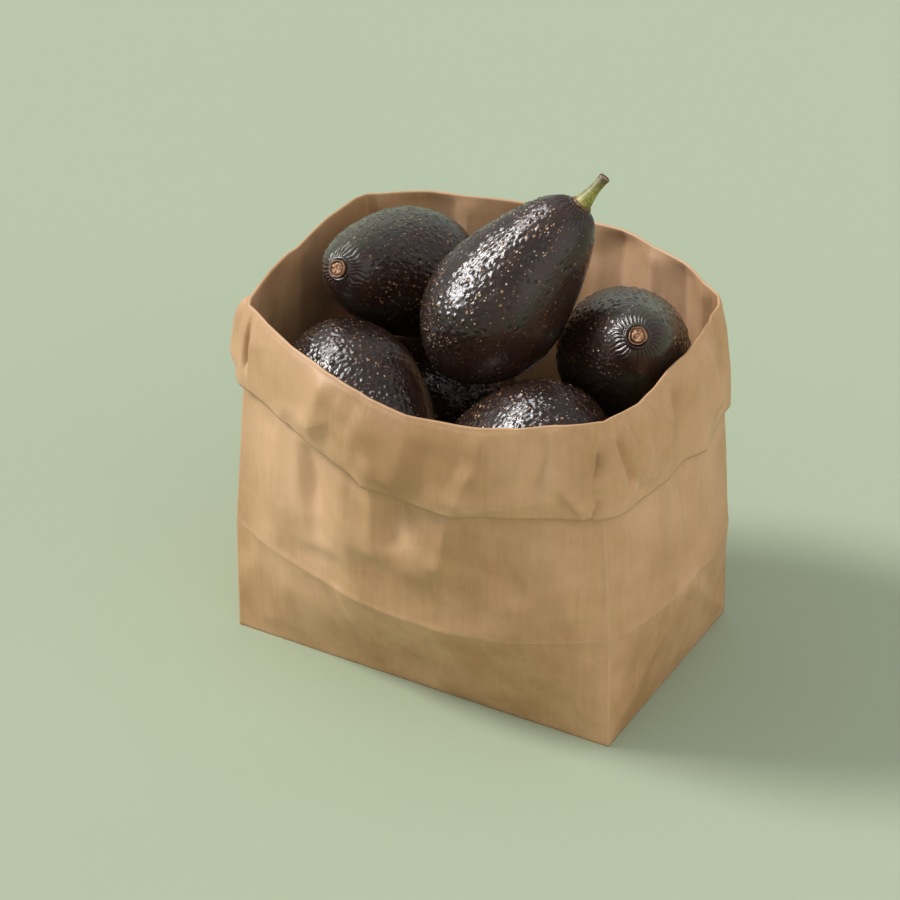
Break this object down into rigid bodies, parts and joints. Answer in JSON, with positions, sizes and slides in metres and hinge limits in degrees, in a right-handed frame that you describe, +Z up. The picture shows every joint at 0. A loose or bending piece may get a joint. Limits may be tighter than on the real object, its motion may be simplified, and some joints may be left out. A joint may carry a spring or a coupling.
{
  "type": "avocados in a paper bag",
  "caption": "Square-bottomed brown paper bag with a turned-down cuff, filled with whole dark-skinned avocados.",
  "frame": {"origin": "centre of the bag's flat bottom, on the surface it stands on", "axes": "+Z up, the bag's wide front panel faces -Y, +X to the right"},
  "size_m": [0.21, 0.1802, 0.2395],
  "materials": {
    "kraft": "matt brown kraft paper, creased",
    "skin": "pebbly, waxy sheen, dark purple-black with green and small tan specks",
    "stem_scar": "rough dry woody scar",
    "green_stem": "satin green-brown, cut end dry and brown"
  },
  "bodies": {
    "root": {"paper_bag": "kraft", "avocado_bottom_back_left": "skin", "button_bottom_back_left": "stem_scar", "avocado_bottom_back_right": "skin", "button_bottom_back_right": "stem_scar", "avocado_bottom_front_left": "skin", "button_bottom_front_left": "stem_scar", "avocado_bottom_front_right": "skin", "button_bottom_front_right": "stem_scar", "avocado_bottom_front": "skin", "button_bottom_front": "stem_scar", "avocado_middle_back_left": "skin", "button_middle_back_left": "stem_scar", "avocado_middle_back_right": "skin", "button_middle_back_right": "stem_scar", "avocado_front_right": "skin", "button_front_right": "stem_scar", "avocado_front_left": "skin", "button_front_left": "stem_scar", "avocado_back_left": "skin", "button_back_left": "stem_scar", "avocado_back_right": "skin", "button_back_right": "stem_scar", "avocado_top": "skin", "stem_top": "green_stem"}
  },
  "joints": []
}
